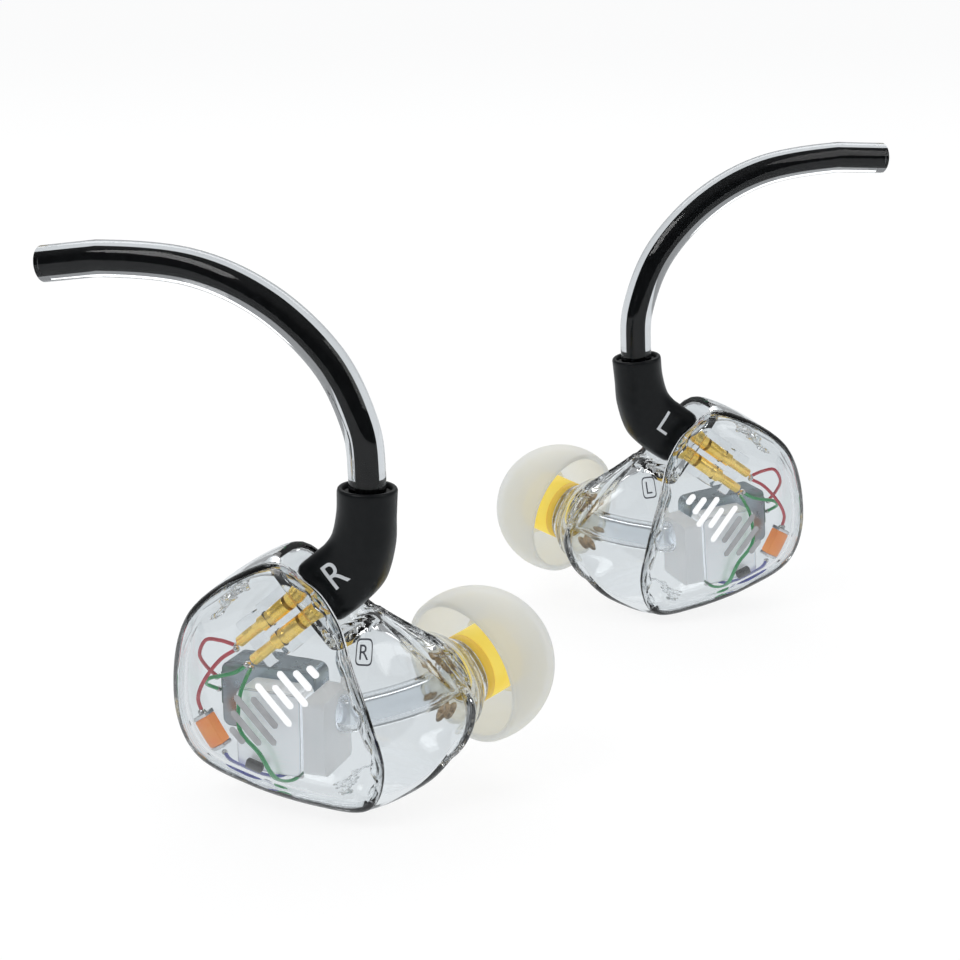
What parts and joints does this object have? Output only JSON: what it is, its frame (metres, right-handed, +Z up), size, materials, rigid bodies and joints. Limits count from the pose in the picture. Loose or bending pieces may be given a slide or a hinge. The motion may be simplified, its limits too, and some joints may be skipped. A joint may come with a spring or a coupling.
{
  "type": "in ear monitors",
  "caption": "Pair of clear in ear monitors with detachable two-pin plugs, ear hooks, silicone ear tips and visible drivers, wiring and crossover.",
  "frame": {"origin": "middle of the pair's bounding box, at the level of its lowest point", "axes": "+X from the right earpiece towards the left one, +Y from the faces towards the ears, +Z up"},
  "size_m": [0.0766, 0.0668, 0.0469],
  "materials": {
    "clear_body": "clear, water-white, gloss",
    "clear_socket": "clear moulded plastic",
    "gold": "gold plated",
    "black_boot": "satin black",
    "silicone": "milky translucent silicone",
    "tip_core": "yellow silicone",
    "tube": "clear soft tube",
    "damper": "woven mesh in a brown ring",
    "manifold": "translucent soft block",
    "chip_black": "matt black",
    "clear_sleeve": "clear soft sleeve",
    "black_cable": "black jacket",
    "can_steel": "blue-grey drawn steel",
    "can_light": "pale drawn steel",
    "copper": "enamelled copper winding",
    "magnet": "dark plated magnet",
    "foil": "thin foil",
    "pad_board": "green board",
    "capacitor_orange": "orange moulded",
    "solder": "bright tinned",
    "wire_red": "red enamel",
    "wire_green": "green enamel",
    "wire_blue": "dark blue enamel"
  },
  "bodies": {
    "right_earpiece": {"right_acoustic_damper": "damper", "right_blue_wire": "wire_blue", "right_capacitor_body": "capacitor_orange", "right_capacitor_caps": "solder", "right_crossover_resistor": "chip_black", "right_driver_armatures": "can_steel", "right_driver_coils": "copper", "right_driver_diaphragms": "foil", "right_driver_magnets": "magnet", "right_driver_terminals": "pad_board", "right_ear_shell": "clear_body", "right_faceplate": "clear_body", "right_green_wires": "wire_green", "right_high_driver_can": "can_light", "right_high_driver_lid": "can_light", "right_low_driver_can": "can_steel", "right_low_driver_lid": "can_steel", "right_red_wires": "wire_red", "right_socket_body": "clear_socket", "right_socket_contacts": "gold", "right_sound_tube": "tube", "right_spout_manifold": "manifold"},
    "right_plug": {"right_plug_boot": "black_boot", "right_plug_pins": "gold", "right_hook_sleeve_lower": "clear_sleeve", "right_cable_lower": "black_cable"},
    "right_hook": {"right_hook_sleeve_upper": "clear_sleeve", "right_cable_upper": "black_cable"},
    "right_eartip": {"right_eartip_dome": "silicone", "right_eartip_core": "tip_core"},
    "left_earpiece": {"left_acoustic_damper": "damper", "left_blue_wire": "wire_blue", "left_capacitor_body": "capacitor_orange", "left_capacitor_caps": "solder", "left_crossover_resistor": "chip_black", "left_driver_armatures": "can_steel", "left_driver_coils": "copper", "left_driver_diaphragms": "foil", "left_driver_magnets": "magnet", "left_driver_terminals": "pad_board", "left_ear_shell": "clear_body", "left_faceplate": "clear_body", "left_green_wires": "wire_green", "left_high_driver_can": "can_light", "left_high_driver_lid": "can_light", "left_low_driver_can": "can_steel", "left_low_driver_lid": "can_steel", "left_red_wires": "wire_red", "left_socket_body": "clear_socket", "left_socket_contacts": "gold", "left_sound_tube": "tube", "left_spout_manifold": "manifold"},
    "left_plug": {"left_plug_boot": "black_boot", "left_plug_pins": "gold", "left_hook_sleeve_lower": "clear_sleeve", "left_cable_lower": "black_cable"},
    "left_hook": {"left_hook_sleeve_upper": "clear_sleeve", "left_cable_upper": "black_cable"},
    "left_eartip": {"left_eartip_dome": "silicone", "left_eartip_core": "tip_core"}
  },
  "joints": [
    {"name": "right_plug_pull", "type": "slide", "parent": "right_earpiece", "child": "right_plug", "axis": [0.7041, -0.2717, 0.6561], "range_m": [0, 0.008]},
    {"name": "right_hook_flex", "type": "hinge", "parent": "right_plug", "child": "right_hook", "pos_m": [-0.01436, -0.02758, 0.03715], "axis": [0.36, 0.933, 0], "range_deg": [-25, 25], "stiffness_Nm_per_rad": 0.02},
    {"name": "right_eartip_pull", "type": "slide", "parent": "right_earpiece", "child": "right_eartip", "axis": [0.709, 0.6822, 0.1789], "range_m": [0, 0.009]},
    {"name": "left_plug_pull", "type": "slide", "parent": "left_earpiece", "child": "left_plug", "axis": [-0.7527, -0.2965, 0.5878], "range_m": [0, 0.008]},
    {"name": "left_hook_flex", "type": "hinge", "parent": "left_plug", "child": "left_hook", "pos_m": [0.01501, 0.01996, 0.03691], "axis": [0.3665, -0.9304, 0], "range_deg": [-25, 25], "stiffness_Nm_per_rad": 0.02},
    {"name": "left_eartip_pull", "type": "slide", "parent": "left_earpiece", "child": "left_eartip", "axis": [-0.7267, 0.6721, 0.142], "range_m": [0, 0.009]},
    {"name": "pair_spacing", "type": "slide", "parent": "right_earpiece", "child": "left_earpiece", "axis": [1, 0, 0], "range_m": [0, 0.08]}
  ]
}
